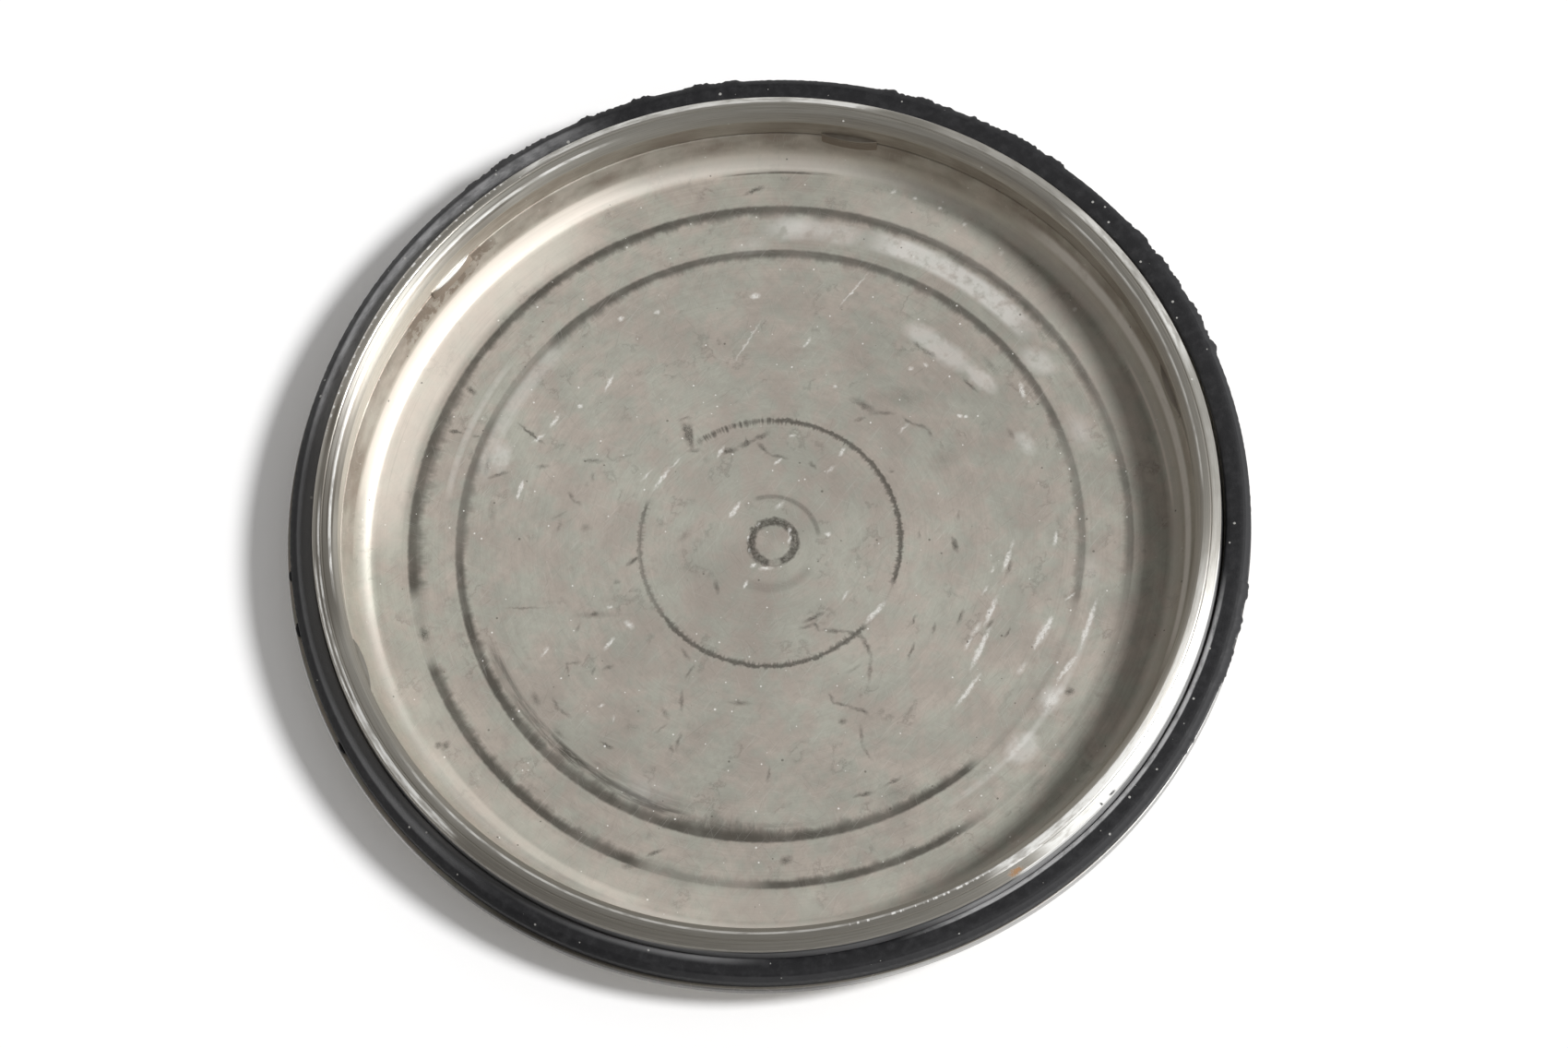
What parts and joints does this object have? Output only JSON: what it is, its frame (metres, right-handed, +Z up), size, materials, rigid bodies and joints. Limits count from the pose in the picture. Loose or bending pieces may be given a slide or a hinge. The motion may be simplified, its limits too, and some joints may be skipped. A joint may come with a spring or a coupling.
{
  "type": "shoe polish tin",
  "caption": "Open shallow half of a round metal polish tin: a pressed pan with a flange, a bevelled neck ring and a black rubber seal ring round the neck.",
  "frame": {"origin": "centre of the flat underside of the pan", "axes": "+Z up along the axis of the tin, out of its open mouth; +X to the right in the picture's view and +Y away from the viewer"},
  "size_m": [0.0842, 0.0842, 0.0077],
  "materials": {
    "pan_metal": "worn bare metal, fine turning marks round the centre, scratched and stained",
    "neck_metal": "turned bare metal, bright on its bevels",
    "seal_rubber": "aged matt black rubber, dusty, crumbled along its outer edge"
  },
  "bodies": {
    "tin": {"pan": "pan_metal", "neck_ring": "neck_metal"},
    "seal": {"seal_ring": "seal_rubber"}
  },
  "joints": [
    {"name": "seal_lift", "type": "slide", "parent": "tin", "child": "seal", "axis": [0, 0, 1], "range_m": [0, 0.012]}
  ]
}
